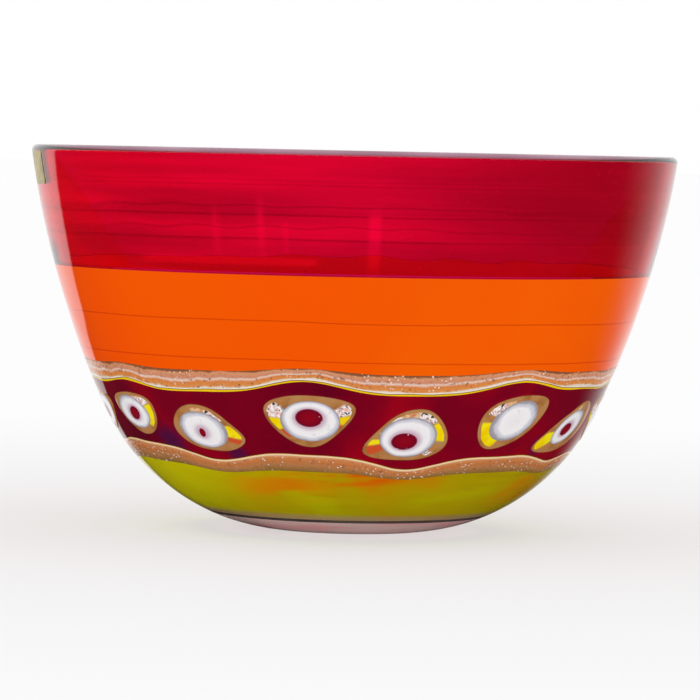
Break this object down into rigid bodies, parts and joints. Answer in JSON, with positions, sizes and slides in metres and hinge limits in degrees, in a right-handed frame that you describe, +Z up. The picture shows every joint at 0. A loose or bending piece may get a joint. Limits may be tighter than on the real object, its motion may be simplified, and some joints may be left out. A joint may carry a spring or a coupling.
{
  "type": "art glass bowl",
  "caption": "Deep round hand-blown art glass bowl of stacked coloured rings with a row of eye-like cane slices inlaid in a dark red ring, on a small flat base.",
  "frame": {"origin": "centre of the flat base the bowl stands on", "axes": "+Z up along the bowl's axis, the bowl's front is towards -Y"},
  "size_m": [0.25, 0.25, 0.147],
  "materials": {
    "lip_glass": "fire polished, clear with a grey plum cast",
    "ruby_glass": "polished transparent ruby",
    "orange_glass": "polished opaque orange",
    "bubble_glass": "clear with gold dust and fine bubbles",
    "gold_glass": "opaque yellow",
    "cranberry_glass": "polished transparent dark red",
    "amber_glass": "brown and amber, partly clear",
    "white_glass": "opaque white",
    "core_glass": "dark red",
    "cream_glass": "opaque cream",
    "green_glass": "polished transparent yellow green",
    "smoke_glass": "dark grey",
    "foot_glass": "clear with a grey pink cast",
    "foil": "gold foil, blank"
  },
  "bodies": {
    "root": {"cranberry_band": "cranberry_glass", "cream_thread": "cream_glass", "foil_label": "foil", "foot_gather": "foot_glass", "gold_thread": "gold_glass", "green_band": "green_glass", "lip_wrap": "lip_glass", "lower_bubble_wrap": "bubble_glass", "murrina_01_casing": "amber_glass", "murrina_01_core": "core_glass", "murrina_01_white": "white_glass", "murrina_02_casing": "amber_glass", "murrina_02_core": "core_glass", "murrina_02_white": "white_glass", "murrina_03_casing": "amber_glass", "murrina_03_core": "core_glass", "murrina_03_white": "white_glass", "murrina_04_casing": "amber_glass", "murrina_04_core": "core_glass", "murrina_04_white": "white_glass", "murrina_05_casing": "amber_glass", "murrina_05_white": "white_glass", "murrina_06_casing": "amber_glass", "murrina_06_core": "core_glass", "murrina_06_white": "white_glass", "murrina_07_casing": "amber_glass", "murrina_07_core": "core_glass", "murrina_07_white": "white_glass", "murrina_08_casing": "amber_glass", "murrina_08_white": "white_glass", "murrina_09_casing": "amber_glass", "murrina_09_core": "core_glass", "murrina_09_white": "white_glass", "murrina_10_casing": "amber_glass", "murrina_10_core": "core_glass", "murrina_10_white": "white_glass", "murrina_11_casing": "amber_glass", "murrina_11_core": "core_glass", "murrina_11_white": "white_glass", "murrina_12_casing": "amber_glass", "murrina_12_core": "core_glass", "murrina_12_white": "white_glass", "murrina_13_casing": "amber_glass", "murrina_13_core": "core_glass", "murrina_13_white": "white_glass", "murrina_14_casing": "amber_glass", "murrina_14_core": "core_glass", "murrina_14_white": "white_glass", "murrina_15_casing": "amber_glass", "murrina_15_white": "white_glass", "murrina_16_casing": "amber_glass", "murrina_16_core": "core_glass", "murrina_16_white": "white_glass", "orange_band": "orange_glass", "ruby_band": "ruby_glass", "smoke_thread": "smoke_glass", "upper_bubble_wrap": "bubble_glass"}
  },
  "joints": []
}
